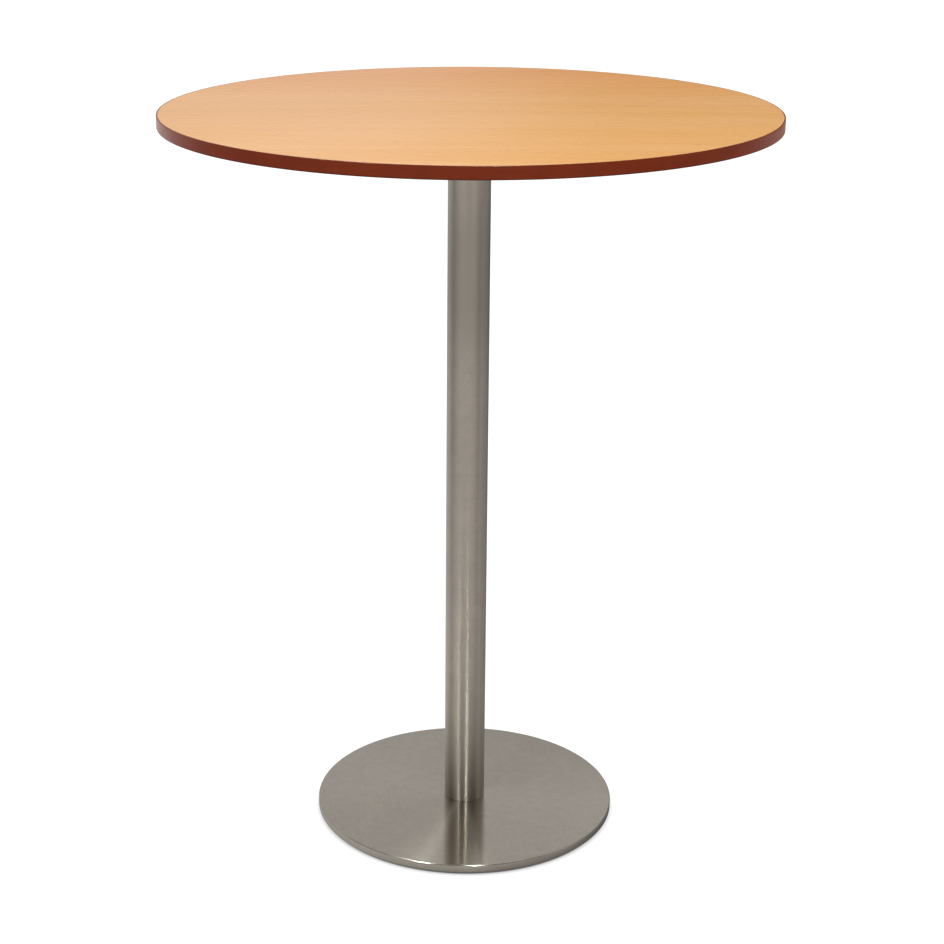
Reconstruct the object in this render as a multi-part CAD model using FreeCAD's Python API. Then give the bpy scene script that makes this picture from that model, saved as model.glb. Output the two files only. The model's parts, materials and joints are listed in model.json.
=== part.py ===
"""Bar-height pub table: round laminated top on a brushed steel column and a weighted disc base.

Millimetres, +Z up. The origin is on the floor, on the column's axis.
From the floor up: four levelling glides, the weight plate under its cover, the column with the
tie rod inside it, the four-armed spider, and the tabletop that is screwed down on the spider.
"""
import FreeCAD
import Part

import math
import os

# ---- overall ------------------------------------------------------------------------------------
pedestal_height = 1100.0        # floor to the underside of the tabletop
top_diameter = 900.0
top_thickness = 18.0
column_diameter = 63.5          # 2 1/2 inch tube
base_diameter = 470.0

# ---- tabletop -----------------------------------------------------------------------------------
laminate_thickness = 0.8        # the same sheet above and below the board
edge_band_thickness = 2.0
edge_band_arris = 0.9           # rounding of the band's upper and lower corners
glue_line = 0.1                 # between the band and what it goes round

# ---- column and tie rod -------------------------------------------------------------------------
column_wall = 1.5
column_end_chamfer = 0.3
rod_diameter = 12.0             # M12 studding
rod_end_chamfer = 1.0
rod_projection = 3.0            # rod beyond each nut
rod_end_margin = 3.0            # how far each rod end stays inside its pocket
rod_hole_clearance = 0.3        # radial, where the rod passes through a cup's floor
nut_across_flats = 18.0
nut_height = 10.8
nut_thread_clearance = 0.05     # radial
hexagon_corner_angle = 30.0     # of the turned-off corners of nut and stud
spring_washer_diameter = 21.1
spring_washer_thickness = 2.5
spring_washer_split = 1.6
flat_washer_diameter = 24.0
flat_washer_thickness = 2.5
washer_bore_clearance = 0.3     # radial

# ---- centring cups, one in each end of the column -----------------------------------------------
cup_fit = 0.1                   # radial, cup in the column's bore
cup_floor = 6.0                 # the wall that the washers bear on
cup_chamfer = 1.5               # lead-in at the end that enters the column
socket_space = 8.0              # radial room for a socket spanner round the flat washer

# ---- spider and its screws ----------------------------------------------------------------------
spider_thickness = 5.0
spider_arm_count = 4
spider_arm_reach = 195.0        # column axis to an arm's end
spider_arm_width = 42.0         # its end is a full half-round
spider_flange_width = 24.0      # of the round centre, beyond the column
screws_per_arm = 2
screw_pitch = 70.0              # along an arm
screw_end_distance = 20.0       # outermost screw to the arm's end
screw_length = 16.0             # under the head
screw_diameter = 5.0
screw_point = 3.0
screw_head_diameter = 9.5
screw_head_height = 2.8
screw_head_rounding = 1.4
screw_hole_clearance = 0.3      # radial, in the spider
pilot_clearance = 0.05          # radial, in the board
pilot_extra_depth = 1.0
recess_span = 4.6               # the cross recess in a screw's head
recess_slot = 0.9
recess_depth = 1.6

# ---- base ---------------------------------------------------------------------------------------
weight_thickness = 10.0
weight_corner_room = 0.6        # weight's chamfer beyond the cover's inner bend
cover_thickness = 1.0
cover_arris = 1.6               # outer rounding of the cover's rim
cover_tightest_bend = 0.2       # least inner rounding
cover_overhang = 0.5            # the cover's rim below the weight's underside
cover_rim_gap = 0.3             # radial, weight inside the cover's rim
cover_hole_clearance = 0.2      # radial, cover round the foot cup

# ---- levelling glides ---------------------------------------------------------------------------
glide_count = 4
glide_inset = 36.0              # glide's axis to the base's edge
glide_first_angle = 45.0
pad_diameter = 30.0
pad_height = 3.5
pad_rounding = 0.9
pad_sole = 0.9                  # plastic under the stud's disc
pad_fit = 0.1                   # round the stud's disc and neck
stud_diameter = 8.0             # M8
stud_hole_clearance = 0.05      # radial, in the weight's tapped hole
stud_top_clearance = 0.4        # stud's end to the cover, fully screwed in
stud_chamfer = 0.8
stud_disc_diameter = 16.0
stud_disc_thickness = 1.2
stud_neck_diameter = 9.0
stud_hex_across_flats = 13.0
stud_hex_height = 2.0

# ---- places worked out from the sizes above -----------------------------------------------------
top_radius = top_diameter / 2
board_radius = top_radius - edge_band_thickness - glue_line
column_radius = column_diameter / 2
bore_radius = column_radius - column_wall
base_radius = base_diameter / 2

weight_underside = pad_height + stud_hex_height
weight_topside = weight_underside + weight_thickness
cover_topside = weight_topside + cover_thickness
cover_lower_edge = weight_underside - cover_overhang
cover_inner_arris = max(cover_arris - cover_thickness, cover_tightest_bend)
weight_chamfer = cover_inner_arris + weight_corner_room
spider_underside = pedestal_height - spider_thickness
column_length = spider_underside - cover_topside

rod_radius = rod_diameter / 2
cup_radius = bore_radius - cup_fit
pocket_radius = flat_washer_diameter / 2 + socket_space
washer_bore_radius = rod_radius + washer_bore_clearance
nut_stack = flat_washer_thickness + spring_washer_thickness + nut_height
pocket_depth = rod_end_margin + rod_projection + nut_stack
foot_pocket_ceiling = weight_underside + pocket_depth
head_pocket_floor = pedestal_height - pocket_depth

screw_radius = screw_diameter / 2
pilot_radius = screw_radius + pilot_clearance
glide_circle_radius = base_radius - glide_inset


def cylinder(radius, height, z=0.0, x=0.0, y=0.0):
    """An upright cylinder whose lower face is at z."""
    return Part.makeCylinder(radius, height, FreeCAD.Vector(x, y, z))


def ring(outer_radius, inner_radius, height, z=0.0):
    """An upright tube whose lower face is at z."""
    return cylinder(outer_radius, height, z).cut(cylinder(inner_radius, height, z))


def turned(shape, degrees):
    """A copy turned about the column's axis."""
    copy = shape.copy()
    copy.rotate(FreeCAD.Vector(0, 0, 0), FreeCAD.Vector(0, 0, 1), degrees)
    return copy


def moved(shape, x=0.0, y=0.0, z=0.0):
    """A copy at another place."""
    copy = shape.copy()
    copy.translate(FreeCAD.Vector(x, y, z))
    return copy


def round_edges(shape, radius, z):
    """The full-circle edges of this radius at this height."""
    found = []
    for edge in shape.Edges:
        if not isinstance(edge.Curve, Part.Circle):
            continue
        same_radius = abs(edge.Curve.Radius - radius) < 1e-6
        same_height = abs(edge.Curve.Center.z - z) < 1e-6
        if same_radius and same_height:
            found.append(edge)
    return found


def hexagon(across_flats, height, z=0.0):
    """An upright hexagonal prism with its corners turned off at both ends, on the Z axis."""
    flat_radius = across_flats / 2
    corner_radius = across_flats / math.sqrt(3)
    corners = []
    for step in range(7):
        angle = math.radians(60 * step)
        corners.append(FreeCAD.Vector(corner_radius * math.cos(angle), corner_radius * math.sin(angle), z))
    prism = Part.Face(Part.makePolygon(corners)).extrude(FreeCAD.Vector(0, 0, height))
    drop = (corner_radius - flat_radius) * math.tan(math.radians(hexagon_corner_angle))
    profile = [
        FreeCAD.Vector(0, 0, z),
        FreeCAD.Vector(flat_radius, 0, z),
        FreeCAD.Vector(corner_radius, 0, z + drop),
        FreeCAD.Vector(corner_radius, 0, z + height - drop),
        FreeCAD.Vector(flat_radius, 0, z + height),
        FreeCAD.Vector(0, 0, z + height),
        FreeCAD.Vector(0, 0, z),
    ]
    axis = FreeCAD.Vector(0, 0, 1)
    blank = Part.Face(Part.makePolygon(profile)).revolve(FreeCAD.Vector(0, 0, 0), axis, 360)
    return prism.common(blank)


def screw_places():
    """The X and Y of each screw, arm by arm."""
    places = []
    for arm in range(spider_arm_count):
        angle = math.radians(360.0 * arm / spider_arm_count)
        for number in range(screws_per_arm):
            radius = spider_arm_reach - screw_end_distance - screw_pitch * number
            places.append((radius * math.cos(angle), radius * math.sin(angle)))
    return places


def glide_places():
    """The X and Y of each levelling glide."""
    places = []
    for number in range(glide_count):
        angle = math.radians(glide_first_angle + 360.0 * number / glide_count)
        places.append((glide_circle_radius * math.cos(angle), glide_circle_radius * math.sin(angle)))
    return places


# ---- tabletop -----------------------------------------------------------------------------------
def tabletop_core():
    """Particle board with blind pilot holes for the spider's screws."""
    underside = pedestal_height + laminate_thickness
    board = cylinder(board_radius, top_thickness - 2 * laminate_thickness, underside)
    depth = screw_length - spider_thickness - laminate_thickness + pilot_extra_depth
    for x, y in screw_places():
        board = board.cut(cylinder(pilot_radius, depth, underside, x, y))
    return board


def tabletop_face():
    """The wood-grain laminate on top."""
    return cylinder(board_radius, laminate_thickness, pedestal_height + top_thickness - laminate_thickness)


def tabletop_backer():
    """The balancing laminate underneath, drilled for the screws."""
    sheet = cylinder(board_radius, laminate_thickness, pedestal_height)
    for x, y in screw_places():
        sheet = sheet.cut(cylinder(pilot_radius, laminate_thickness, pedestal_height, x, y))
    return sheet


def edge_band():
    """The band round the board's edge, with rounded corners outside."""
    band = ring(top_radius, top_radius - edge_band_thickness, top_thickness, pedestal_height)
    corners = round_edges(band, top_radius, pedestal_height)
    corners += round_edges(band, top_radius, pedestal_height + top_thickness)
    return band.makeFillet(edge_band_arris, corners)


# ---- spider -------------------------------------------------------------------------------------
def spider_arm():
    """One flat arm along +X, from the column's axis to its half-round end."""
    half = spider_arm_width / 2
    corner = FreeCAD.Vector(0, -half, spider_underside)
    arm = Part.makeBox(spider_arm_reach - half, spider_arm_width, spider_thickness, corner)
    return arm.fuse(cylinder(half, spider_thickness, spider_underside, spider_arm_reach - half))


def spider():
    """The steel cross under the top: a round flange, its arms, and the drilled holes."""
    plate = cylinder(column_radius + spider_flange_width, spider_thickness, spider_underside)
    for arm in range(spider_arm_count):
        plate = plate.fuse(turned(spider_arm(), 360.0 * arm / spider_arm_count))
    plate = plate.removeSplitter()
    plate = plate.cut(cylinder(pocket_radius, spider_thickness, spider_underside))
    for x, y in screw_places():
        hole = cylinder(screw_radius + screw_hole_clearance, spider_thickness, spider_underside, x, y)
        plate = plate.cut(hole)
    return plate


def wood_screw():
    """A pan-head wood screw on the Z axis, head down, its seat at z 0."""
    shank = cylinder(screw_radius, screw_length - screw_point)
    point = Part.makeCone(screw_radius, 0, screw_point, FreeCAD.Vector(0, 0, screw_length - screw_point))
    head = cylinder(screw_head_diameter / 2, screw_head_height, -screw_head_height)
    rim = round_edges(head, screw_head_diameter / 2, -screw_head_height)
    head = head.makeFillet(screw_head_rounding, rim)
    screw = head.fuse([shank, point]).removeSplitter()
    slot_corner = FreeCAD.Vector(-recess_span / 2, -recess_slot / 2, -screw_head_height)
    slot = Part.makeBox(recess_span, recess_slot, recess_depth, slot_corner)
    return screw.cut(slot.fuse(turned(slot, 90)))


def spider_screws():
    """The screws that hold the tabletop down, as separate solids."""
    screws = []
    for x, y in screw_places():
        screws.append(moved(wood_screw(), x, y, spider_underside))
    return Part.makeCompound(screws)


# ---- centring cups ------------------------------------------------------------------------------
def rod_hole(z):
    """The hole for the tie rod through a cup's floor."""
    return cylinder(rod_radius + rod_hole_clearance, cup_floor, z)


def foot_cup():
    """Turned steel cup on the weight, open downwards, that centres the column's foot."""
    height = foot_pocket_ceiling + cup_floor - weight_topside
    cup = cylinder(cup_radius, height, weight_topside)
    cup = cup.makeChamfer(cup_chamfer, round_edges(cup, cup_radius, weight_topside + height))
    cup = cup.cut(cylinder(pocket_radius, foot_pocket_ceiling - weight_topside, weight_topside))
    return cup.cut(rod_hole(foot_pocket_ceiling))


def head_cup():
    """Turned steel cup under the spider, open upwards, that centres the column's head."""
    lower_end = head_pocket_floor - cup_floor
    cup = cylinder(cup_radius, spider_underside - lower_end, lower_end)
    cup = cup.makeChamfer(cup_chamfer, round_edges(cup, cup_radius, lower_end))
    cup = cup.cut(cylinder(pocket_radius, spider_underside - head_pocket_floor, head_pocket_floor))
    return cup.cut(rod_hole(lower_end))


# ---- column and tie rod -------------------------------------------------------------------------
def column_tube():
    """The column, from the base's cover to the spider."""
    tube = ring(column_radius, bore_radius, column_length, cover_topside)
    ends = round_edges(tube, column_radius, cover_topside)
    ends += round_edges(tube, column_radius, cover_topside + column_length)
    return tube.makeChamfer(column_end_chamfer, ends)


def tie_rod():
    """The studding that pulls spider, column and base together."""
    lower_end = foot_pocket_ceiling - nut_stack - rod_projection
    upper_end = head_pocket_floor + nut_stack + rod_projection
    rod = cylinder(rod_radius, upper_end - lower_end, lower_end)
    ends = round_edges(rod, rod_radius, lower_end) + round_edges(rod, rod_radius, upper_end)
    return rod.makeChamfer(rod_end_chamfer, ends)


def flat_washer(z):
    """A flat washer whose lower face is at z."""
    return ring(flat_washer_diameter / 2, washer_bore_radius, flat_washer_thickness, z)


def spring_washer(z):
    """A split spring washer, flattened, whose lower face is at z."""
    washer = ring(spring_washer_diameter / 2, washer_bore_radius, spring_washer_thickness, z)
    corner = FreeCAD.Vector(0, -spring_washer_split / 2, z)
    split = Part.makeBox(spring_washer_diameter, spring_washer_split, spring_washer_thickness, corner)
    return washer.cut(split)


def nut(z):
    """A hexagon nut whose lower face is at z."""
    return hexagon(nut_across_flats, nut_height, z).cut(
        cylinder(rod_radius + nut_thread_clearance, nut_height, z)
    )


def foot_hardware():
    """Washers and nut under the foot cup's floor, read downwards."""
    flat = foot_pocket_ceiling - flat_washer_thickness
    spring = flat - spring_washer_thickness
    return {
        "foot_flat_washer": flat_washer(flat),
        "foot_spring_washer": spring_washer(spring),
        "foot_nut": nut(spring - nut_height),
    }


def head_hardware():
    """Washers and nut on the head cup's floor, read upwards."""
    spring = head_pocket_floor + flat_washer_thickness
    return {
        "head_flat_washer": flat_washer(head_pocket_floor),
        "head_spring_washer": spring_washer(spring),
        "head_nut": nut(spring + spring_washer_thickness),
    }


# ---- base ---------------------------------------------------------------------------------------
def base_weight():
    """The heavy steel disc, open at its centre, with a tapped hole for each glide."""
    radius = base_radius - cover_thickness - cover_rim_gap
    disc = cylinder(radius, weight_thickness, weight_underside)
    rims = round_edges(disc, radius, weight_underside) + round_edges(disc, radius, weight_topside)
    disc = disc.makeChamfer(weight_chamfer, rims)
    disc = disc.cut(cylinder(pocket_radius, weight_thickness, weight_underside))
    for x, y in glide_places():
        hole = cylinder(stud_diameter / 2 + stud_hole_clearance, weight_thickness, weight_underside, x, y)
        disc = disc.cut(hole)
    return disc


def base_cover():
    """The spun cover over the weight: a flat disc with a rounded arris and a short rim."""
    height = cover_topside - cover_lower_edge
    inner_radius = base_radius - cover_thickness
    outside = cylinder(base_radius, height, cover_lower_edge)
    outside = outside.makeFillet(cover_arris, round_edges(outside, base_radius, cover_topside))
    inside = cylinder(inner_radius, height - cover_thickness, cover_lower_edge)
    inside = inside.makeFillet(cover_inner_arris, round_edges(inside, inner_radius, weight_topside))
    shell = outside.cut(inside)
    return shell.cut(cylinder(cup_radius + cover_hole_clearance, cover_thickness, weight_topside))


# ---- levelling glides ---------------------------------------------------------------------------
def glide_pad():
    """The plastic pad, with the undercut that holds the stud's disc."""
    pad = cylinder(pad_diameter / 2, pad_height)
    rims = round_edges(pad, pad_diameter / 2, 0.0) + round_edges(pad, pad_diameter / 2, pad_height)
    pad = pad.makeFillet(pad_rounding, rims)
    pad = pad.cut(cylinder(stud_disc_diameter / 2 + pad_fit, stud_disc_thickness + pad_fit, pad_sole))
    return pad.cut(cylinder(stud_neck_diameter / 2 + pad_fit, pad_height - pad_sole, pad_sole))


def glide_stud():
    """The steel stud that turns in the pad: disc, neck, hexagon and threaded shank."""
    disc = cylinder(stud_disc_diameter / 2, stud_disc_thickness, pad_sole)
    neck = cylinder(stud_neck_diameter / 2, pad_height - pad_sole, pad_sole)
    hexagon_flange = hexagon(stud_hex_across_flats, stud_hex_height, pad_height)
    tip = weight_topside - stud_top_clearance
    shank = cylinder(stud_diameter / 2, tip - pad_height, pad_height)
    shank = shank.makeChamfer(stud_chamfer, round_edges(shank, stud_diameter / 2, tip))
    return disc.fuse([neck, hexagon_flange, shank]).removeSplitter()


def glides():
    """A pad and a stud at each place under the base."""
    pieces = {}
    for number, (x, y) in enumerate(glide_places(), start=1):
        pieces["glide_pad_%d" % number] = moved(glide_pad(), x, y)
        pieces["glide_stud_%d" % number] = moved(glide_stud(), x, y)
    return pieces


def all_pieces():
    """Every node's name and shape."""
    pieces = {
        "tabletop_core": tabletop_core(),
        "tabletop_face": tabletop_face(),
        "tabletop_backer": tabletop_backer(),
        "edge_band": edge_band(),
        "spider": spider(),
        "spider_screws": spider_screws(),
        "head_cup": head_cup(),
        "column_tube": column_tube(),
        "tie_rod": tie_rod(),
        "foot_cup": foot_cup(),
        "base_weight": base_weight(),
        "base_cover": base_cover(),
    }
    pieces.update(head_hardware())
    pieces.update(foot_hardware())
    pieces.update(glides())
    return pieces


os.makedirs("parts", exist_ok=True)
for node, shape in all_pieces().items():
    shape.exportStep("parts/%s.step" % node)
    print("%-20s solids %d  valid %s  %.1f cm3" % (node, len(shape.Solids), shape.isValid(), shape.Volume / 1000))
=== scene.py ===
"""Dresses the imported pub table: laminate top, edge band, brushed column and base, and its studio.

Sizes are in metres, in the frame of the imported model: +Z up, the origin on the floor on the
column's axis, -Y towards the viewer. Azimuths are in degrees round the column, 0 at the front
and 90 at the right.
"""

import json
import math

import bmesh
import bpy
from bpy.props import FloatProperty, FloatVectorProperty, IntProperty, PointerProperty
from mathutils import Matrix, Vector


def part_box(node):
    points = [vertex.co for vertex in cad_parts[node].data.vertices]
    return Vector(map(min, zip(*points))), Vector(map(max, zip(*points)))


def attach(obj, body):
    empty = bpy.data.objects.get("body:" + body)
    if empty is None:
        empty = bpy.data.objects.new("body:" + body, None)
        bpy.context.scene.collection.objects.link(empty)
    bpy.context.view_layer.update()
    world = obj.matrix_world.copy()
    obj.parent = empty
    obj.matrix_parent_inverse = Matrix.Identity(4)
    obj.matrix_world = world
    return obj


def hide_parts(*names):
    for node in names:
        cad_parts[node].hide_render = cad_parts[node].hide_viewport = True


bl_info = {
    "name": "Pub table",
    "version": (1, 0, 0),
    "blender": (4, 5, 0),
    "location": "3D View > Sidebar > Pub table",
    "description": "Models the table's visible pieces and finishes around its packed frame",
    "category": "Object",
}

FRAME_PIXELS = 944.0
SENSOR_WIDTH = 36.0
ON_RING = 1e-5                  # how near to a ring a corner has to be to lie on it
MERGE_DISTANCE = 1e-6
SMOOTH_ANGLE = math.radians(35)

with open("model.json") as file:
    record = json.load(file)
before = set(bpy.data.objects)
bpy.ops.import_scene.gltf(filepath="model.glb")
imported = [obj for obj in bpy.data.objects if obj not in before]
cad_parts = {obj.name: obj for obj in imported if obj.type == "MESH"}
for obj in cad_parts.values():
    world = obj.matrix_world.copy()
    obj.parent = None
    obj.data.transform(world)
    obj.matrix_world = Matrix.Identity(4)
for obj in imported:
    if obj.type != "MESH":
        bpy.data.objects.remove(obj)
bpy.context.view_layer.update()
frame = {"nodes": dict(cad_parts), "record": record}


def node_span(node):
    """The lowest and highest Z of a CAD node, and its radius about the column's axis."""
    low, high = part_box(node)
    return low.z, high.z, max(high.x, high.y)


# ---- settings -----------------------------------------------------------------------------------
class TableShape(bpy.types.PropertyGroup):
    """Sizes of the modelled pieces that the frame doesn't give."""

    top_sides: IntProperty(
        name="Top sides", description="Flat sides round the tabletop", default=288, min=32
    )
    base_sides: IntProperty(
        name="Base sides", description="Flat sides round the base", default=240, min=32
    )
    column_sides: IntProperty(
        name="Column sides", description="Flat sides round the column", default=128, min=16
    )
    laminate_ease: FloatProperty(
        name="Laminate ease", description="Rounding of the laminate's rim",
        default=0.0002, unit="LENGTH",
    )
    band_thickness: FloatProperty(
        name="Band thickness", description="Edge band, inside to outside",
        default=0.002, unit="LENGTH",
    )
    band_arris: FloatProperty(
        name="Band arris", description="Rounding of the edge band's corners",
        default=0.0009, unit="LENGTH",
    )
    tube_wall: FloatProperty(
        name="Tube wall", description="Wall of the column's tube", default=0.0015, unit="LENGTH"
    )
    tube_end_ease: FloatProperty(
        name="Tube end ease", description="Rounding of the tube's ends",
        default=0.0003, unit="LENGTH",
    )
    cover_wall: FloatProperty(
        name="Cover wall", description="Sheet of the base's cover", default=0.001, unit="LENGTH"
    )
    cover_arris: FloatProperty(
        name="Cover arris", description="Outer rounding of the cover's rim",
        default=0.0016, unit="LENGTH",
    )
    cover_hole: FloatProperty(
        name="Cover hole", description="Radius of the hole under the column",
        default=0.03035, unit="LENGTH",
    )
    ring_spacing: FloatProperty(
        name="Ring spacing", description="Between the loops of a long or wide surface",
        default=0.05, unit="LENGTH",
    )
    holding_gap: FloatProperty(
        name="Holding gap", description="From a rounding to the loop that keeps the next face flat",
        default=0.0003, unit="LENGTH",
    )


class TableFinish(bpy.types.PropertyGroup):
    """Colours of the finishes."""

    beech: FloatVectorProperty(
        name="Beech", description="The laminate's wood", subtype="COLOR",
        default=(0.862, 0.446, 0.133), min=0, max=1,
    )
    band: FloatVectorProperty(
        name="Edge band", description="Red-brown edging", subtype="COLOR",
        default=(0.135, 0.015, 0.001), min=0, max=1,
    )
    steel: FloatVectorProperty(
        name="Brushed steel", description="Stainless steel of column and base", subtype="COLOR",
        default=(0.502, 0.449, 0.387), min=0, max=1,
    )


class TableStudio(bpy.types.PropertyGroup):
    """Camera, lamps and surroundings."""

    camera_distance: FloatProperty(
        name="Camera distance", description="From the column's axis", default=2.94006, unit="LENGTH"
    )
    camera_height: FloatProperty(
        name="Camera height", description="Above the floor", default=1.57549, unit="LENGTH"
    )
    camera_pitch: FloatProperty(
        name="Camera pitch", description="Downward tilt", default=0.33136, subtype="ANGLE"
    )
    camera_yaw: FloatProperty(
        name="Camera yaw", description="Turn to the right", default=-0.01825, subtype="ANGLE"
    )
    camera_roll: FloatProperty(
        name="Camera roll", description="Tilt of the frame", default=0.00264, subtype="ANGLE"
    )
    focal_pixels: FloatProperty(
        name="Focal length in pixels", description="For a frame 944 pixels wide", default=2029.61
    )
    frame_shift: FloatProperty(
        name="Frame shift", description="Sideways shift of the frame, as a share of its width",
        default=0.04237,
    )
    floor_size: FloatProperty(
        name="Floor size", description="Side of the square floor", default=60.0, unit="LENGTH"
    )


# ---- modelling helpers --------------------------------------------------------------------------
def start_ring(name, radius, height, sides):
    """A bare circle about the column's axis, left in edit mode with all of it selected."""
    bpy.ops.object.select_all(action="DESELECT")
    bpy.ops.mesh.primitive_circle_add(
        vertices=sides, radius=radius, fill_type="NOTHING", location=(0, 0, height)
    )
    piece = bpy.context.object
    piece.name = name
    piece.data.name = name
    bpy.ops.object.transform_apply(location=True, rotation=False, scale=False)
    bpy.ops.object.mode_set(mode="EDIT")
    bpy.ops.mesh.select_all(action="SELECT")
    return piece


def grow_ring(radius_now, radius_next, rise):
    """Extrudes the selected loop to another radius and height."""
    bpy.ops.mesh.extrude_edges_move(TRANSFORM_OT_translate={"value": (0, 0, rise)})
    factor = radius_next / radius_now
    bpy.ops.transform.resize(value=(factor, factor, 1), center_override=(0, 0, 0))


def towards(start, end, run):
    """The point at a distance from start in the direction of end."""
    share = run / math.hypot(end[0] - start[0], end[1] - start[1])
    return start[0] + (end[0] - start[0]) * share, start[1] + (end[1] - start[1]) * share


def hold_flat(corners, rounded, run):
    """An outline with an extra corner on both sides of each one that gets rounded, so that the
    faces beside the rounding stay flat."""
    held = []
    for number, corner in enumerate(corners):
        before = corners[number - 1]
        after = corners[(number + 1) % len(corners)]
        if corner in rounded:
            held += [towards(corner, before, run), corner, towards(corner, after, run)]
        else:
            held.append(corner)
    return held


def turn_closed(name, corners, sides, spacing):
    """Turns a closed outline of (radius, height) corners about the column's axis.

    Long runs get a loop every spacing, so that their faces stay well shaped."""
    radius_now, height_now = corners[0]
    piece = start_ring(name, radius_now, height_now, sides)
    for radius_next, height_next in corners[1:] + corners[:1]:
        run = math.hypot(radius_next - radius_now, height_next - height_now)
        steps = max(1, round(run / spacing))
        radius_step = (radius_next - radius_now) / steps
        height_step = (height_next - height_now) / steps
        for _ in range(steps):
            grow_ring(radius_now, radius_now + radius_step, height_step)
            radius_now += radius_step
        height_now = height_next
    bpy.ops.mesh.select_all(action="SELECT")
    bpy.ops.mesh.remove_doubles(threshold=MERGE_DISTANCE)
    bpy.ops.mesh.normals_make_consistent(inside=False)
    return piece


def on_ring(corner, radius, height):
    """Whether a corner lies on the circle of this radius and height about the axis."""
    return abs(corner.co.xy.length - radius) < ON_RING and abs(corner.co.z - height) < ON_RING


def select_rings(piece, places):
    """Selects the edges that go round the axis at these (radius, height) places."""
    bpy.ops.mesh.select_mode(type="EDGE")
    bpy.ops.mesh.select_all(action="DESELECT")
    mesh = bmesh.from_edit_mesh(piece.data)
    for edge in mesh.edges:
        for place in places:
            if all(on_ring(corner, *place) for corner in edge.verts):
                edge.select = True
    bmesh.update_edit_mesh(piece.data)


def round_rings(piece, places, radius, segments):
    """Rounds the edges that go round the axis at these (radius, height) places."""
    select_rings(piece, places)
    bpy.ops.mesh.bevel(offset=radius, segments=segments, profile=0.5, affect="EDGES")


def finish_piece(piece, material, body, nodes):
    """Leaves edit mode, sets the shading and the finish, and ties the piece to the frame."""
    bpy.ops.mesh.select_all(action="DESELECT")
    bpy.ops.object.mode_set(mode="OBJECT")
    bpy.ops.object.shade_smooth_by_angle(angle=SMOOTH_ANGLE)
    piece.data.materials.clear()
    piece.data.materials.append(material)
    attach(piece, body)
    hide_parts(*nodes)


# ---- material helpers ---------------------------------------------------------------------------
NOISE_MIDDLE = (0.35, 0.65)     # where most values of a noise lie
NOISE_WIDE = (0.3, 0.7)         # where nearly all of them lie
NUMBER = "NodeSocketFloat"
VECTOR = "NodeSocketVector"


def add_node(tree, kind, **settings):
    """A new shader node with these settings."""
    made = tree.nodes.new(kind)
    for key, value in settings.items():
        setattr(made, key, value)
    return made


def feed(tree, value, socket):
    """Links a socket, or sets a plain number, colour or vector."""
    if isinstance(value, bpy.types.NodeSocket):
        tree.links.new(value, socket)
    else:
        socket.default_value = value


def calc(tree, operation, first, second=0.0, third=0.0):
    """A Math node's result."""
    made = add_node(tree, "ShaderNodeMath", operation=operation)
    feed(tree, first, made.inputs[0])
    feed(tree, second, made.inputs[1])
    feed(tree, third, made.inputs[2])
    return made.outputs[0]


def ramp(tree, value, low, high, out_low, out_high, smooth=True):
    """A value mapped from one range to another, eased at both ends and clamped."""
    easing = "SMOOTHSTEP" if smooth else "LINEAR"
    made = add_node(tree, "ShaderNodeMapRange", interpolation_type=easing)
    for socket, number in zip(made.inputs, (value, low, high, out_low, out_high)):
        feed(tree, number, socket)
    return made.outputs[0]


def average(tree, first, second):
    """Halfway between two values."""
    return calc(tree, "MULTIPLY_ADD", first, 0.5, calc(tree, "MULTIPLY", second, 0.5))


def mix_value(tree, factor, first, second):
    """Two numbers mixed."""
    made = add_node(tree, "ShaderNodeMix", data_type="FLOAT")
    feed(tree, factor, made.inputs["Factor"])
    feed(tree, first, made.inputs[2])
    feed(tree, second, made.inputs[3])
    return made.outputs[0]


def mix_colour(tree, factor, first, second, blend="MIX"):
    """Two colours mixed."""
    made = add_node(tree, "ShaderNodeMix", data_type="RGBA", blend_type=blend)
    feed(tree, factor, made.inputs["Factor"])
    feed(tree, first, made.inputs[6])
    feed(tree, second, made.inputs[7])
    return made.outputs[2]


def mix_shader(tree, factor, first, second):
    """Two shaders mixed."""
    made = add_node(tree, "ShaderNodeMixShader")
    feed(tree, factor, made.inputs["Fac"])
    feed(tree, first, made.inputs[1])
    feed(tree, second, made.inputs[2])
    return made.outputs[0]


def glow(tree, strength):
    """A white emission shader."""
    made = add_node(tree, "ShaderNodeEmission")
    feed(tree, strength, made.inputs["Strength"])
    return made.outputs[0]


def noise(tree, vector, scale=1.0, detail=2.0, roughness=0.5, distortion=0.0):
    """A noise texture's value."""
    made = add_node(tree, "ShaderNodeTexNoise")
    feed(tree, vector, made.inputs["Vector"])
    made.inputs["Scale"].default_value = scale
    made.inputs["Detail"].default_value = detail
    made.inputs["Roughness"].default_value = roughness
    made.inputs["Distortion"].default_value = distortion
    return made.outputs["Fac"]


def stretched(tree, vector, scale):
    """Coordinates scaled along each axis."""
    made = add_node(tree, "ShaderNodeMapping")
    feed(tree, vector, made.inputs["Vector"])
    made.inputs["Scale"].default_value = scale
    return made.outputs["Vector"]


def object_coordinates(tree):
    """The piece's own coordinates, in metres."""
    return add_node(tree, "ShaderNodeTexCoord").outputs["Object"]


def split(tree, vector):
    """A vector's parts, as the sockets X, Y and Z."""
    made = add_node(tree, "ShaderNodeSeparateXYZ")
    feed(tree, vector, made.inputs[0])
    return made.outputs


def flattened(tree, vector):
    """A vector without its rise."""
    made = add_node(tree, "ShaderNodeVectorMath", operation="MULTIPLY")
    feed(tree, vector, made.inputs[0])
    made.inputs[1].default_value = (1.0, 1.0, 0.0)
    return made.outputs[0]


def level_direction(tree, direction):
    """A direction without its rise, at length one."""
    unit = add_node(tree, "ShaderNodeVectorMath", operation="NORMALIZE")
    feed(tree, flattened(tree, direction), unit.inputs[0])
    return unit.outputs[0]


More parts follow.
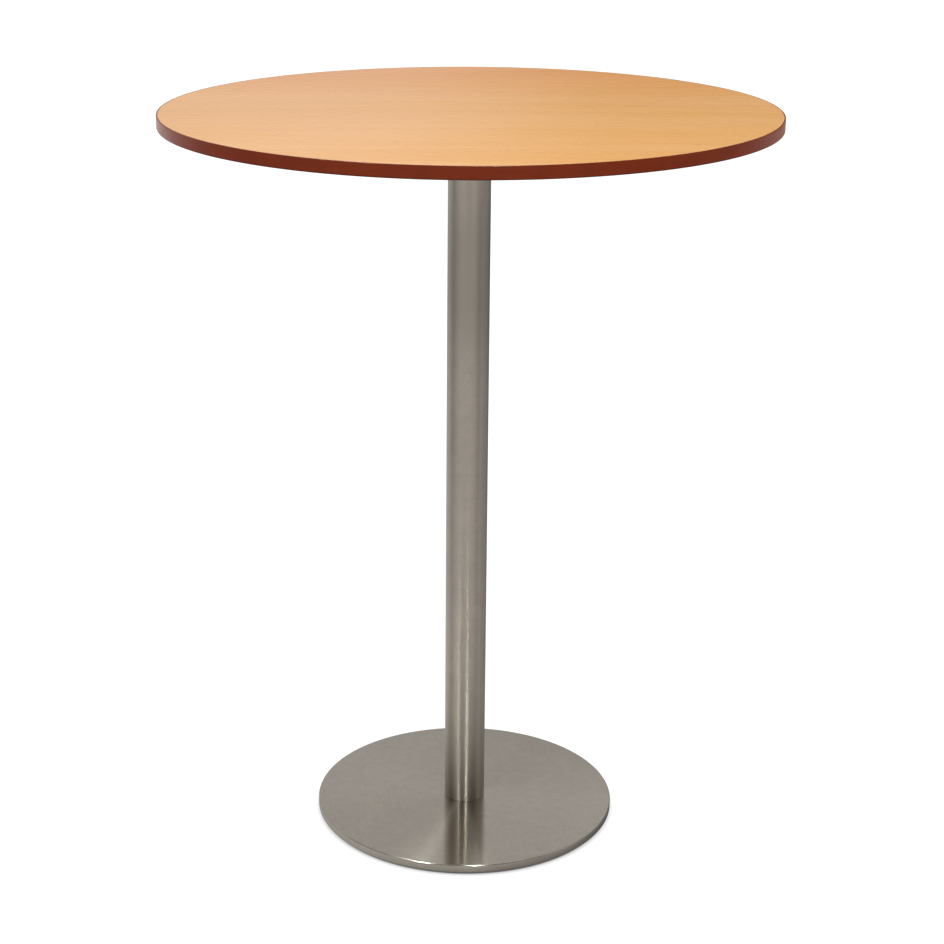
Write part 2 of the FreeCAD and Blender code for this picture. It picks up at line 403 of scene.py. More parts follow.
def distance_from_axis(tree, place):
    """How far a point is from the column's axis, in metres."""
    length = add_node(tree, "ShaderNodeVectorMath", operation="LENGTH")
    feed(tree, flattened(tree, place), length.inputs[0])
    return length.outputs["Value"]


def opaque(colour):
    """A colour with full alpha."""
    return (*colour, 1.0)


def toned(colour, factors):
    """A colour times three factors, with full alpha."""
    return opaque([min(1.0, part * factor) for part, factor in zip(colour, factors)])


def shaded(colour, factor):
    """A darker or lighter colour, with full alpha."""
    return toned(colour, (factor, factor, factor))


def mottled(tree, tone, colour, spread):
    """A colour from darker to lighter by a share, where the tone goes from 0 to 1."""
    return mix_colour(tree, tone, shaded(colour, 1.0 - spread), shaded(colour, 1.0 + spread))


def tinted(tree, colour, tint):
    """A colour socket times a tint."""
    return mix_colour(tree, 1.0, colour, opaque(tint), blend="MULTIPLY")


def new_material(name):
    """A material, its tree and its Principled shader."""
    material = bpy.data.materials.new(name)
    material.use_nodes = True
    tree = material.node_tree
    return material, tree, tree.nodes["Principled BSDF"]


def bump(tree, height, distance):
    """A normal bent by a height in metres times distance."""
    made = add_node(tree, "ShaderNodeBump")
    made.inputs["Strength"].default_value = 1.0
    made.inputs["Distance"].default_value = distance
    feed(tree, height, made.inputs["Height"])
    return made.outputs["Normal"]


def new_group(name, inputs, outputs):
    """A shader node group with named float, vector or colour sockets."""
    group = bpy.data.node_groups.new(name, "ShaderNodeTree")
    for socket, kind in inputs:
        group.interface.new_socket(socket, in_out="INPUT", socket_type=kind)
    for socket, kind in outputs:
        group.interface.new_socket(socket, in_out="OUTPUT", socket_type=kind)
    entry = group.nodes.new("NodeGroupInput")
    leave = group.nodes.new("NodeGroupOutput")
    return group, entry, leave


def use_group(tree, group, **values):
    """Places a group and feeds its inputs."""
    made = add_node(tree, "ShaderNodeGroup", node_tree=group)
    for key, value in values.items():
        feed(tree, value, made.inputs[key])
    return made


# ---- shared effects -----------------------------------------------------------------------------
LINES_SHARE = 0.2               # of the brush lines in the steel's tone
TONE_NOISES = (
    # scale per metre, detail, roughness, share in the steel's tone
    (520.0, 2.0, 0.5, 0.35),    # sandy grain
    (55.0, 3.0, 0.6, 0.25),     # blotches
    (7.0, 2.0, 0.5, 0.2),       # clouds
)
HAIRLINE_STRETCH = (26.0, 11.0, 15.0)
HAIRLINE_WIDTH = 0.004          # as a share of the noise's range
HAIRLINE_PATCH_SCALE = 16.0
HAIRLINE_PATCH = (0.52, 0.62)   # noise values where the scratches set in


def brushing_group():
    """Fine brush lines from coordinates already stretched along them, a sandy grain, clouds that
    make the steel uneven, and a few hairline scratches where Scratched isn't 0."""
    group, entry, leave = new_group(
        "brushing",
        inputs=[("Lines", VECTOR), ("Place", VECTOR), ("Scratched", NUMBER)],
        outputs=[("Scratches", NUMBER), ("Tone", NUMBER), ("Hairlines", NUMBER)],
    )
    place = entry.outputs["Place"]
    lines = noise(group, entry.outputs["Lines"], roughness=0.6)
    tone = calc(group, "MULTIPLY", lines, LINES_SHARE)
    for scale, detail, roughness, share in TONE_NOISES:
        value = noise(group, place, scale, detail, roughness)
        tone = calc(group, "MULTIPLY_ADD", value, share, tone)
    feed(group, lines, leave.inputs["Scratches"])
    feed(group, tone, leave.inputs["Tone"])
    thread = noise(group, stretched(group, place, HAIRLINE_STRETCH), detail=1.0, distortion=0.4)
    apart = calc(group, "ABSOLUTE", calc(group, "SUBTRACT", thread, 0.5))
    patches = noise(group, place, HAIRLINE_PATCH_SCALE, detail=1.0)
    here = ramp(group, patches, *HAIRLINE_PATCH, 0.0, entry.outputs["Scratched"])
    hairlines = calc(group, "MULTIPLY", ramp(group, apart, 0.0, HAIRLINE_WIDTH, 1.0, 0.0), here)
    feed(group, hairlines, leave.inputs["Hairlines"])
    return group


# ---- finishes -----------------------------------------------------------------------------------
COLUMN_ROUGHNESS = 0.36
BASE_ROUGHNESS = 0.185
STEEL_TONE = 0.08               # how far the steel's colour drifts, up and down
STEEL_GLOSS = 0.04              # and its roughness
# colour of the column's painted shade and painted dark reflection, as a share of the steel's
PAINTED_SHADE_TONE = 0.84
HAIRLINE_SHADE = 1.16
HAIRLINE_ROUGHNESS = 0.05       # added
BRUSH_DEPTH = 0.000002
COLUMN_LINES = (14.0, 14.0, 1800.0)
DISC_LINES_ALONG = 3.0          # per turn of the direction
DISC_LINES_ACROSS = 1500.0      # per metre of radius
DARK_REFLECTION_ABOVE = (0.72, 0.84)     # heights on the column where a painted dark reflection sets in
DARK_REFLECTION_BELOW = (0.92, 1.06)     # and where it fades out
FOOT_SHADE_HEIGHTS = (0.0, 0.24)       # heights where the painted shade at the foot fades out
# how strongly the painted shade darkens the foot
FOOT_SHADE_WEIGHT = 1.1


def brushed_steel(name, colour, roughness, line_vector, brushing, scratched, painted_shade=None):
    """Brushed stainless steel: brush lines run round the axis, and gloss stretches across them.

    painted_shade gives how far painted shade and a painted dark reflection darken a place, fully
    from 1 upwards."""
    material, tree, shader = new_material(name)
    place = object_coordinates(tree)
    lines = line_vector(tree, place)
    effect = use_group(tree, brushing, Lines=lines, Place=place, Scratched=scratched)
    hairlines = effect.outputs["Hairlines"]
    tone = effect.outputs["Tone"]
    steel = mottled(tree, ramp(tree, tone, *NOISE_MIDDLE, 0.0, 1.0), colour, STEEL_TONE)
    # painted shade and painted dark reflection, where given
    if painted_shade is not None:
        steel = mix_colour(tree, painted_shade(tree, place), steel, shaded(colour, PAINTED_SHADE_TONE))
    steel = mix_colour(tree, hairlines, steel, shaded(colour, HAIRLINE_SHADE))
    feed(tree, steel, shader.inputs["Base Color"])
    rougher = roughness * (1.0 + STEEL_GLOSS)
    smoother = roughness * (1.0 - STEEL_GLOSS)
    gloss = ramp(tree, tone, *NOISE_MIDDLE, rougher, smoother)
    gloss = calc(tree, "MULTIPLY_ADD", hairlines, HAIRLINE_ROUGHNESS, gloss)
    feed(tree, gloss, shader.inputs["Roughness"])
    feed(tree, bump(tree, effect.outputs["Scratches"], BRUSH_DEPTH), shader.inputs["Normal"])
    shader.inputs["Metallic"].default_value = 1.0
    shader.inputs["Anisotropic"].default_value = 1.0
    shader.inputs["Anisotropic Rotation"].default_value = 0.25
    tangent = add_node(tree, "ShaderNodeTangent", direction_type="RADIAL", axis="Z")
    feed(tree, tangent.outputs["Tangent"], shader.inputs["Tangent"])
    return material


def column_lines(tree, place):
    """Coordinates for brush lines round the column."""
    return stretched(tree, place, COLUMN_LINES)


def column_painted_shade(tree, place):
    """Painted shade on the column: a darker stretch below the top that stands in for a dark
    reflection, and a darker foot that stands in for the shade by the base.
    """
    height = split(tree, place)["Z"]
    above = ramp(tree, height, *DARK_REFLECTION_ABOVE, 0.0, 1.0)
    below = ramp(tree, height, *DARK_REFLECTION_BELOW, 1.0, 0.0)
    foot = ramp(tree, height, *FOOT_SHADE_HEIGHTS, FOOT_SHADE_WEIGHT, 0.0)
    return calc(tree, "MULTIPLY_ADD", above, below, foot)


def disc_lines(tree, place):
    """Coordinates for brush lines in circles about the column: direction, and radius stretched."""
    aim = split(tree, level_direction(tree, place))
    reach = distance_from_axis(tree, place)
    lines = add_node(tree, "ShaderNodeCombineXYZ")
    feed(tree, calc(tree, "MULTIPLY", aim["X"], DISC_LINES_ALONG), lines.inputs["X"])
    feed(tree, calc(tree, "MULTIPLY", aim["Y"], DISC_LINES_ALONG), lines.inputs["Y"])
    feed(tree, calc(tree, "MULTIPLY", reach, DISC_LINES_ACROSS), lines.inputs["Z"])
    return lines.outputs[0]


# Stretches of the laminate's noises along X, Y and Z
DRIFT_STRETCH = (1.8, 6.0, 1.0)
BANDS_STRETCH = (0.9, 15.0, 1.0)
STREAKS_STRETCH = (2.6, 240.0, 1.0)
FIBRES_STRETCH = (9.0, 520.0, 1.0)
PORES_STRETCH = (70.0, 1100.0, 1.0)
# Tints of its print, and of the painted shade towards the back
PINKER = (1.01, 1.02, 1.12)
GOLDEN = (0.99, 0.97, 0.86)
REAR_PAINTED_SHADE = (1.0, 0.87, 0.78)
BANDS_TINT = (0.975, 0.95, 0.90)
STREAKS_TINT = (0.976, 0.952, 0.925)
PORES_TINT = (0.86, 0.78, 0.70)
REAR_SHADE_REACH = (0.0, 0.42)        # metres behind the axis where the painted shade towards the back sets in
STREAKS_SHARE = 0.65            # the rest of the grain is fibres
GRAIN_RANGE = (0.36, 0.60)      # values of the grain from deep to pale
PORES_RANGE = (0.60, 0.75)      # noise values where a pore sets in
PORES_WEIGHT = 0.5
LAMINATE_ROUGHNESS = (0.31, 0.26)
PORE_DEPTH = 0.00001


def beech_laminate(colour):
    """Printed beech: broad bands and fine streaks along X, short pores, a slow drift, and painted
    shade towards the back.
    """
    material, tree, shader = new_material("beech_laminate")
    place = object_coordinates(tree)
    drift = noise(tree, stretched(tree, place, DRIFT_STRETCH))
    drift = ramp(tree, drift, *NOISE_MIDDLE, 0.0, 1.0)
    wood = mix_colour(tree, drift, toned(colour, PINKER), toned(colour, GOLDEN))
    # painted shade: darker and deeper in colour towards the back
    rear_shade = ramp(tree, split(tree, place)["Y"], *REAR_SHADE_REACH, 0.0, 1.0)
    wood = mix_colour(tree, rear_shade, wood, tinted(tree, wood, REAR_PAINTED_SHADE))
    bands = noise(tree, stretched(tree, place, BANDS_STRETCH), detail=1.0, distortion=0.3)
    bands = ramp(tree, bands, *NOISE_MIDDLE, 1.0, 0.0)
    wood = mix_colour(tree, bands, wood, tinted(tree, wood, BANDS_TINT))
    streaks = noise(
        tree, stretched(tree, place, STREAKS_STRETCH), detail=3.0, roughness=0.55, distortion=0.25
    )
    fibres = noise(tree, stretched(tree, place, FIBRES_STRETCH))
    pores = noise(tree, stretched(tree, place, PORES_STRETCH), detail=1.0)
    finer = calc(tree, "MULTIPLY", fibres, 1.0 - STREAKS_SHARE)
    grain = calc(tree, "MULTIPLY_ADD", streaks, STREAKS_SHARE, finer)
    grain = ramp(tree, grain, *GRAIN_RANGE, 1.0, 0.0)
    wood = mix_colour(tree, grain, wood, tinted(tree, wood, STREAKS_TINT))
    pored = ramp(tree, pores, *PORES_RANGE, 0.0, PORES_WEIGHT)
    wood = mix_colour(tree, pored, wood, tinted(tree, wood, PORES_TINT))
    feed(tree, wood, shader.inputs["Base Color"])
    feed(tree, ramp(tree, fibres, *NOISE_WIDE, *LAMINATE_ROUGHNESS), shader.inputs["Roughness"])
    feed(tree, bump(tree, pores, PORE_DEPTH), shader.inputs["Normal"])
    return material


BAND_DRAWN_STRETCH = (6.0, 6.0, 900.0)
BAND_CLOUD_SCALE = 30.0
BAND_TONE = 0.10
BAND_ROUGHNESS = (0.27, 0.21)
BAND_DEPTH = 0.00001
LOWER_CORNER_SHADE_HEIGHTS = (0.0003, 0.0021)      # above the band's lower edge, where the painted shade fades out
LOWER_CORNER_SHADE = 0.15
LOWER_CORNER_SHADE_WEIGHT = 0.9


def edge_band_plastic(colour, low):
    """Semi-gloss red-brown edging with a slight drawn grain, and painted shade on its lower corner,
    which faces down.
    """
    material, tree, shader = new_material("edge_band")
    place = object_coordinates(tree)
    drawn = noise(tree, stretched(tree, place, BAND_DRAWN_STRETCH))
    clouds = noise(tree, place, BAND_CLOUD_SCALE)
    tone = average(tree, drawn, clouds)
    plain = mottled(tree, ramp(tree, tone, *NOISE_WIDE, 0.0, 1.0), colour, BAND_TONE)
    from_low, to_low = LOWER_CORNER_SHADE_HEIGHTS
    # painted shade along the lower corner, which faces the dark below
    corner = ramp(tree, split(tree, place)["Z"], low + from_low, low + to_low, LOWER_CORNER_SHADE_WEIGHT, 0.0)
    shaded_corner = mix_colour(tree, corner, plain, shaded(colour, LOWER_CORNER_SHADE))
    feed(tree, shaded_corner, shader.inputs["Base Color"])
    feed(tree, ramp(tree, tone, *NOISE_WIDE, *BAND_ROUGHNESS), shader.inputs["Roughness"])
    feed(tree, bump(tree, drawn, BAND_DEPTH), shader.inputs["Normal"])
    shader.inputs["Specular IOR Level"].default_value = 0.15
    shader.inputs["Sheen Weight"].default_value = 0.25
    shader.inputs["Sheen Roughness"].default_value = 0.35
    shader.inputs["Sheen Tint"].default_value = (1.0, 0.3, 0.15, 1.0)
    return material


PLAIN_GLOSS = 0.10              # how far a plain finish's roughness drifts, up and down
GRAINS_PER_CLOUD = 8
PLAIN_FINISHES = (
    # slot, colour, metallic, roughness, grain per metre, grain depth, mottling
    ("backing_laminate", (0.78, 0.76, 0.72), 0.0, 0.50, 900.0, 0.00001, 0.03),
    ("particle_board", (0.62, 0.47, 0.31), 0.0, 0.80, 500.0, 0.0002, 0.20),
    ("black_steel", (0.025, 0.025, 0.026), 0.0, 0.45, 1400.0, 0.00003, 0.12),
    ("bare_steel", (0.42, 0.42, 0.42), 1.0, 0.35, 1200.0, 0.00001, 0.08),
    ("zinc_steel", (0.66, 0.66, 0.64), 1.0, 0.30, 1500.0, 0.00001, 0.08),
    ("black_plastic", (0.03, 0.03, 0.031), 0.0, 0.50, 1800.0, 0.00002, 0.12),
)


def plain_finish(name, colour, metallic, roughness, grain_scale, grain_depth, mottling):
    """A finish for small parts: slight mottling of colour and gloss, and a fine surface grain."""
    material, tree, shader = new_material(name)
    place = object_coordinates(tree)
    clouds = noise(tree, place, grain_scale / GRAINS_PER_CLOUD)
    grain = noise(tree, place, grain_scale)
    tone = ramp(tree, average(tree, grain, clouds), *NOISE_WIDE, 0.0, 1.0)
    feed(tree, mottled(tree, tone, colour, mottling), shader.inputs["Base Color"])
    rougher = roughness * (1.0 + PLAIN_GLOSS)
    smoother = roughness * (1.0 - PLAIN_GLOSS)
    feed(tree, ramp(tree, grain, *NOISE_WIDE, rougher, smoother), shader.inputs["Roughness"])
    feed(tree, bump(tree, grain, grain_depth), shader.inputs["Normal"])
    shader.inputs["Metallic"].default_value = metallic
    return material


# ---- pieces -------------------------------------------------------------------------------------
class PUBTABLE_OT_laminate(bpy.types.Operator):
    """The wood-grain laminate on top, with its rim eased"""

    bl_idname = "pub_table.laminate"
    bl_label = "Laminate"

    def execute(self, context):
        shape = context.scene.pub_table_shape
        finish = context.scene.pub_table_finish
        low, high, radius = node_span("tabletop_face")
        inner = shape.ring_spacing
        piece = start_ring("tabletop_laminate", inner, low, shape.top_sides)
        steps = round((radius - inner) / shape.ring_spacing)
        stride = (radius - inner) / steps
        for number in range(steps):
            grow_ring(inner + stride * number, inner + stride * (number + 1), 0.0)
        grow_ring(radius, radius, high - low)
        flat = radius - shape.laminate_ease - shape.holding_gap
        grow_ring(radius, flat, 0.0)
        grow_ring(flat, inner + stride * (steps - 1), 0.0)
        for number in range(steps - 1, 0, -1):
            grow_ring(inner + stride * number, inner + stride * (number - 1), 0.0)
        bpy.ops.mesh.edge_face_add()
        select_rings(piece, [(inner, low)])
        bpy.ops.mesh.edge_face_add()
        bpy.ops.mesh.select_all(action="SELECT")
        bpy.ops.mesh.normals_make_consistent(inside=False)
        round_rings(piece, [(radius, high)], shape.laminate_ease, segments=2)
        material = beech_laminate(finish.beech)
        finish_piece(piece, material, "table", ["tabletop_face"])
        return {"FINISHED"}


class PUBTABLE_OT_edge_band(bpy.types.Operator):
    """The band round the tabletop's edge, with rounded corners"""

    bl_idname = "pub_table.edge_band"
    bl_label = "Edge band"

    def execute(self, context):
        shape = context.scene.pub_table_shape
        finish = context.scene.pub_table_finish
        low, high, radius = node_span("edge_band")
        inner = radius - shape.band_thickness
        rounded = [(radius, low), (radius, high)]
        outline = [(inner, low), *rounded, (inner, high)]
        corners = hold_flat(outline, rounded, shape.band_arris + shape.holding_gap)
        piece = turn_closed("edge_banding", corners, shape.top_sides, shape.ring_spacing)
        round_rings(piece, rounded, shape.band_arris, segments=5)
        material = edge_band_plastic(finish.band, low)
        finish_piece(piece, material, "table", ["edge_band"])
        return {"FINISHED"}


class PUBTABLE_OT_column(bpy.types.Operator):
    """The brushed column tube"""

    bl_idname = "pub_table.column"
    bl_label = "Column"

    def execute(self, context):
        shape = context.scene.pub_table_shape
        finish = context.scene.pub_table_finish
        low, high, radius = node_span("column_tube")
        inner = radius - shape.tube_wall
        rounded = [(radius, low), (radius, high)]
        outline = [*rounded, (inner, high), (inner, low)]
        corners = hold_flat(outline, rounded, shape.tube_end_ease + shape.holding_gap)
        piece = turn_closed("column_shell", corners, shape.column_sides, shape.ring_spacing)
        round_rings(piece, rounded, shape.tube_end_ease, segments=2)
        brushing = bpy.data.node_groups["brushing"]
        material = brushed_steel(
            "brushed_column", finish.steel, COLUMN_ROUGHNESS, column_lines, brushing,
            scratched=0.0, painted_shade=column_painted_shade,
        )
        finish_piece(piece, material, "table", ["column_tube"])
        return {"FINISHED"}


class PUBTABLE_OT_base_cover(bpy.types.Operator):
    """The brushed cover of the base: flat disc, rounded arris and short rim"""

    bl_idname = "pub_table.base_cover"
    bl_label = "Base cover"

    def execute(self, context):
        shape = context.scene.pub_table_shape
        finish = context.scene.pub_table_finish
        low, high, radius = node_span("base_cover")
        inner = radius - shape.cover_wall
        under = high - shape.cover_wall
        hem = shape.cover_wall / 4
        corners = [
            (shape.cover_hole, high), (radius, high), (radius, low),
            (inner, low), (inner, under), (shape.cover_hole, under),
        ]
        corner_run = shape.cover_arris + shape.holding_gap
        hem_run = hem + shape.holding_gap / 2
        corners = hold_flat(corners, [(radius, high), (inner, under)], corner_run)
        corners = hold_flat(corners, [(radius, low), (inner, low)], hem_run)
        piece = turn_closed("base_shell", corners, shape.base_sides, shape.ring_spacing)
        round_rings(piece, [(radius, high)], shape.cover_arris, segments=6)
        round_rings(piece, [(inner, under)], shape.cover_arris - shape.cover_wall, segments=3)
        round_rings(piece, [(radius, low), (inner, low)], hem, segments=2)
        brushing = bpy.data.node_groups["brushing"]
        material = brushed_steel(
            "brushed_base", finish.steel, BASE_ROUGHNESS, disc_lines, brushing, scratched=1.0
        )
        finish_piece(piece, material, "table", ["base_cover"])
        return {"FINISHED"}


class PUBTABLE_OT_finishes(bpy.types.Operator):
    """Finishes for the pieces whose shape comes from the frame as it is"""

    bl_idname = "pub_table.finishes"
    bl_label = "Finishes of the other pieces"

    def execute(self, context):
        finishes = {row[0]: plain_finish(*row) for row in PLAIN_FINISHES}
        for row in frame["record"]["subparts"]:
            material = finishes.get(row["material_slot"])
            if material is None:
                continue
            mesh = frame["nodes"][row["node"]].data
            mesh.materials.clear()
            mesh.materials.append(material)
        return {"FINISHED"}


# ---- stage --------------------------------------------------------------------------------------
# What metal and gloss see: soft cards, each an azimuth, a half width in degrees and a brightness
WALL_LEVEL = 0.13
WALL_CARDS = (
    (-45.0, 40.0, 0.06),
    (86.0, 20.0, 0.30),
    (180.0, 100.0, 0.465),
)
# The lowest strip behind: where it fades, in the Z, Y and X of a direction, and its two halves
LOW_STRIP_RISE = (0.21, 0.42)
LOW_STRIP_DEPTH = (0.3, 0.6)
LOW_STRIP_EDGE = (-0.06, 0.08)
LOW_STRIP_RIGHT = 0.10
LOW_STRIP_LEFT = 0.60
LOW_STRIP_TINT = (0.72, 0.82, 0.97)
# The floor: cards all over, cards near the axis, and a dim ring, with their distances from it
FLOOR_LEVEL = 0.47
FLOOR_CARDS = (
    (-12.0, 80.0, 0.50),
    (-150.0, 55.0, 0.34),
    (170.0, 45.0, -0.20),
    (60.0, 40.0, 0.10),
    (-90.0, 35.0, 0.10),
)
NEAR_CARDS = (
    (-85.0, 60.0, 0.25),
    (40.0, 75.0, 0.22),
)
NEAR_REACH = (0.5, 1.5)
RING_INSIDE = (1.9, 3.2)
RING_OUTSIDE = (3.2, 5.5)
RING_LEVEL = -0.45
# The shade close to the base, with its distances from the rim
CONTACT_LEVEL = 0.15
CONTACT_CARD = (-70.0, 85.0, 0.35)
CONTACT_REACH = (0.0, 0.09)
# What matte surfaces see of the surroundings
MATTE_LEVEL = 0.97
# What the camera sees of the floor: its glow in the gap under the rim and close to it, with
# their distances from the rim
FLOOR_WHITE = 0.9
GLOW_SHARE = 0.6
GAP_GLOW = (0.10, 0.95)
GAP_REACH = (-0.0065, -0.0025)
RIM_GLOW = (0.0, 0.35)
RIM_REACH = (-0.0025, 0.009)


def soft_card(tree, unit, azimuth, half_width, brightness):
    """The brightness of a soft card at an azimuth, seen in a level direction of length one."""
    angle = math.radians(azimuth)
    facing = add_node(tree, "ShaderNodeVectorMath", operation="DOT_PRODUCT")
    feed(tree, unit, facing.inputs[0])
    facing.inputs[1].default_value = (math.sin(angle), -math.cos(angle), 0.0)
    edge = math.cos(math.radians(half_width))
    return ramp(tree, facing.outputs["Value"], edge, 1.0, 0.0, brightness)


def mirrored_walls(tree, direction):
    """What polished pieces see of the walls: dim in front and brighter behind, where the lowest
    strip is cool and bright at the left, and dark at the right. Gives brightness and colour."""
    unit = level_direction(tree, direction)
    total = WALL_LEVEL
    for card in WALL_CARDS:
        total = calc(tree, "ADD", soft_card(tree, unit, *card), total)
    parts = split(tree, direction)
    behind = ramp(tree, parts["Y"], *LOW_STRIP_DEPTH, 0.0, 1.0)
    low = calc(tree, "MULTIPLY", ramp(tree, parts["Z"], *LOW_STRIP_RISE, 1.0, 0.0), behind)
    left = ramp(tree, parts["X"], *LOW_STRIP_EDGE, 1.0, 0.0)
    strip = ramp(tree, left, 0.0, 1.0, LOW_STRIP_RIGHT, LOW_STRIP_LEFT, smooth=False)
    cool = calc(tree, "MULTIPLY", low, left)
    colour = mix_colour(tree, cool, opaque((1.0, 1.0, 1.0)), opaque(LOW_STRIP_TINT))
    return mix_value(tree, low, total, strip), colour


def near_rim(tree, reach, base_radius, offsets, at_low, at_high, smooth=True):
    """A value that goes from one to another between two distances from the base's rim."""
    low, high = offsets
    return ramp(tree, reach, base_radius + low, base_radius + high, at_low, at_high, smooth)


def mirrored_floor(tree, place, base_radius):
    """What polished pieces see of the floor: brighter in front and at the left, a dim ring, and
    the shade close to the base."""
    unit = level_direction(tree, place)
    reach = distance_from_axis(tree, place)
    total = FLOOR_LEVEL
    for card in FLOOR_CARDS:
        total = calc(tree, "ADD", soft_card(tree, unit, *card), total)
    for card in NEAR_CARDS:
        near = ramp(tree, reach, *NEAR_REACH, 1.0, 0.0)
        near = calc(tree, "MULTIPLY", soft_card(tree, unit, *card), near)
        total = calc(tree, "ADD", near, total)
    inside = ramp(tree, reach, *RING_INSIDE, 0.0, 1.0)
    outside = ramp(tree, reach, *RING_OUTSIDE, 1.0, 0.0)
    ring = calc(tree, "MULTIPLY", calc(tree, "MULTIPLY", inside, outside), RING_LEVEL)
    total = calc(tree, "MULTIPLY", total, calc(tree, "ADD", ring, 1.0))
    shade = calc(tree, "ADD", soft_card(tree, unit, *CONTACT_CARD), CONTACT_LEVEL)
    contact = near_rim(tree, reach, base_radius, CONTACT_REACH, shade, 1.0, smooth=False)
    return calc(tree, "MULTIPLY", total, contact)


def world_light():
    """White to the camera, the soft walls to metal and gloss, and an even light to the rest."""
    world = bpy.data.worlds.new("studio")
    bpy.context.scene.world = world
    world.use_nodes = True
    tree = world.node_tree
    background = tree.nodes["Background"]
    direction = add_node(tree, "ShaderNodeTexCoord").outputs["Generated"]
    rays = add_node(tree, "ShaderNodeLightPath").outputs
    mirror = calc(tree, "MAXIMUM", rays["Is Glossy Ray"], rays["Is Transmission Ray"])
    wall_level, wall_colour = mirrored_walls(tree, direction)
    level = mix_value(tree, mirror, MATTE_LEVEL, wall_level)
    feed(tree, mix_value(tree, rays["Is Camera Ray"], level, 1.0), background.inputs["Strength"])
    colour = mix_colour(tree, mirror, opaque((1.0, 1.0, 1.0)), wall_colour)
    feed(tree, colour, background.inputs["Color"])


def contact_shadow(tree, place, base_radius):
    """How brightly the floor glows to the camera: hardly in the gap under the base, and less
    close around it."""
    reach = distance_from_axis(tree, place)
    gap = near_rim(tree, reach, base_radius, GAP_REACH, *GAP_GLOW)
    rim = near_rim(tree, reach, base_radius, RIM_REACH, *RIM_GLOW)
    return calc(tree, "ADD", gap, rim)


def floor_material(base_radius):
    """Pale floor: white to the camera but for the shadow by the base, softly lit to metal and
    gloss, and clear from below."""
    material, tree, shader = new_material("floor")
    shader.inputs["Base Color"].default_value = opaque((FLOOR_WHITE, FLOOR_WHITE, FLOOR_WHITE))
    shader.inputs["Roughness"].default_value = 1.0
    shader.inputs["Specular IOR Level"].default_value = 0.0
    lit = shader.outputs[0]
    place = object_coordinates(tree)
    rays = add_node(tree, "ShaderNodeLightPath").outputs
    shown = mix_shader(tree, GLOW_SHARE, lit, glow(tree, contact_shadow(tree, place, base_radius)))
    mirrored = glow(tree, mirrored_floor(tree, place, base_radius))
    hidden = mix_shader(tree, rays["Is Glossy Ray"], lit, mirrored)
    above = mix_shader(tree, rays["Is Camera Ray"], hidden, shown)
    below = add_node(tree, "ShaderNodeBsdfTransparent").outputs[0]
    backfacing = add_node(tree, "ShaderNodeNewGeometry").outputs["Backfacing"]
    surface = tree.nodes["Material Output"].inputs["Surface"]
    feed(tree, mix_shader(tree, backfacing, above, below), surface)
    return material


LAMPS = (
    # name, azimuth, elevation, distance, width, height, brightness, seen by matte surfaces
    ("key_softbox", 2.0, 55.0, 2.4, 1.2, 0.8, 4.2, True),
    ("left_softbox", -74.0, 62.0, 4.0, 1.6, 0.7, 4.5, False),
    ("left_high", -82.0, 71.0, 4.0, 1.3, 0.4, 78.0, False),
    ("right_high", 16.5, 73.5, 4.0, 0.10, 0.40, 1150.0, False),
    ("left_strip", -54.0, 63.5, 4.0, 0.26, 0.40, 170.0, False),
    ("front_strip", 15.0, 63.2, 4.0, 0.30, 0.38, 200.0, False),
    ("side_spot", -124.0, 35.0, 4.0, 0.3, 0.5, 3.0, False),
)
LAMP_AIM = Vector((0.0, 0.0, 0.5))
STRIP_TINT = (0.92, 1.0, 1.0)


def add_lamps():
    """The lamps, aimed at the table: one soft key for matte surfaces, and strips that only metal
    and gloss show."""
    for name, azimuth, elevation, distance, width, height, brightness, matte in LAMPS:
        turn = math.radians(azimuth)
        rise = math.radians(elevation)
        level = math.cos(rise)
        away = Vector((math.sin(turn) * level, -math.cos(turn) * level, math.sin(rise)))
        facing = away.to_track_quat("Z", "Y").to_euler()
        bpy.ops.object.light_add(type="AREA", location=LAMP_AIM + away * distance, rotation=facing)
        lamp = bpy.context.object
        lamp.name = name
        lamp.data.shape = "RECTANGLE"
        lamp.data.size = width
        lamp.data.size_y = height
        lamp.data.energy = brightness * math.pi * width * height
        lamp.visible_camera = False
        lamp.visible_diffuse = matte
        lamp.visible_glossy = not matte
        if not matte:
            lamp.data.color = STRIP_TINT


def add_camera(studio):
    """The camera, at the height, distance and tilt of the settings."""
    turn = (
        Matrix.Rotation(-studio.camera_yaw, 3, "Z")
        @ Matrix.Rotation(math.pi / 2 - studio.camera_pitch, 3, "X")
        @ Matrix.Rotation(studio.camera_roll, 3, "Z")
    )
    place = (0.0, -studio.camera_distance, studio.camera_height)
    bpy.ops.object.camera_add(location=place, rotation=turn.to_euler())
    camera = bpy.context.object
    camera.name = "camera"
    camera.data.sensor_width = SENSOR_WIDTH
    camera.data.lens = studio.focal_pixels / FRAME_PIXELS * SENSOR_WIDTH
    camera.data.shift_x = studio.frame_shift
    bpy.context.scene.camera = camera


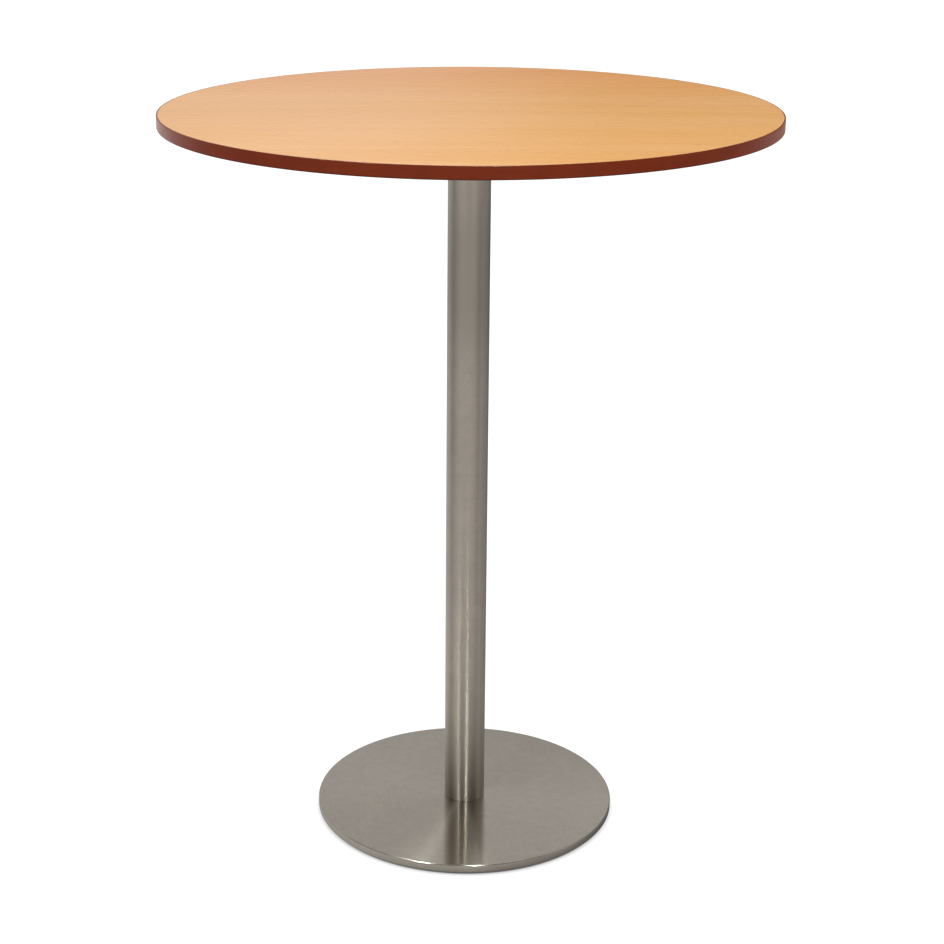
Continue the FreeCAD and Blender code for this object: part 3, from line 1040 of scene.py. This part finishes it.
class PUBTABLE_OT_stage(bpy.types.Operator):
    """Floor, surroundings, lamps and camera"""

    bl_idname = "pub_table.stage"
    bl_label = "Stage"

    def execute(self, context):
        studio = context.scene.pub_table_studio
        bpy.ops.object.select_all(action="DESELECT")
        bpy.ops.mesh.primitive_plane_add(size=studio.floor_size, location=(0, 0, 0))
        floor = bpy.context.object
        floor.name = "floor"
        floor.data.materials.append(floor_material(node_span("base_cover")[2]))
        world_light()
        add_lamps()
        add_camera(studio)
        context.scene.view_settings.view_transform = "Standard"
        return {"FINISHED"}


class PUBTABLE_PT_panel(bpy.types.Panel):
    """The table's pieces, sizes and colours"""

    bl_label = "Pub table"
    bl_idname = "PUBTABLE_PT_panel"
    bl_space_type = "VIEW_3D"
    bl_region_type = "UI"
    bl_category = "Pub table"

    def draw(self, context):
        for operator in OPERATORS:
            self.layout.operator(operator.bl_idname)
        for name, kind in GROUPS.items():
            box = self.layout.box()
            group = getattr(context.scene, name)
            for key in kind.__annotations__:
                box.prop(group, key)


GROUPS = {
    "pub_table_shape": TableShape,
    "pub_table_finish": TableFinish,
    "pub_table_studio": TableStudio,
}
OPERATORS = (
    PUBTABLE_OT_laminate,
    PUBTABLE_OT_edge_band,
    PUBTABLE_OT_column,
    PUBTABLE_OT_base_cover,
    PUBTABLE_OT_finishes,
    PUBTABLE_OT_stage,
)


def register():
    for key, group in GROUPS.items():
        bpy.utils.register_class(group)
        setattr(bpy.types.Scene, key, PointerProperty(type=group))
    for operator in OPERATORS:
        bpy.utils.register_class(operator)
    bpy.utils.register_class(PUBTABLE_PT_panel)


def unregister():
    bpy.utils.unregister_class(PUBTABLE_PT_panel)
    for operator in reversed(OPERATORS):
        bpy.utils.unregister_class(operator)
    for key, group in GROUPS.items():
        delattr(bpy.types.Scene, key)
        bpy.utils.unregister_class(group)


def main():
    register()
    brushing_group()
    bpy.ops.pub_table.laminate()
    bpy.ops.pub_table.edge_band()
    bpy.ops.pub_table.column()
    bpy.ops.pub_table.base_cover()
    bpy.ops.pub_table.finishes()
    bpy.ops.pub_table.stage()


if __name__ == "__main__":
    main()
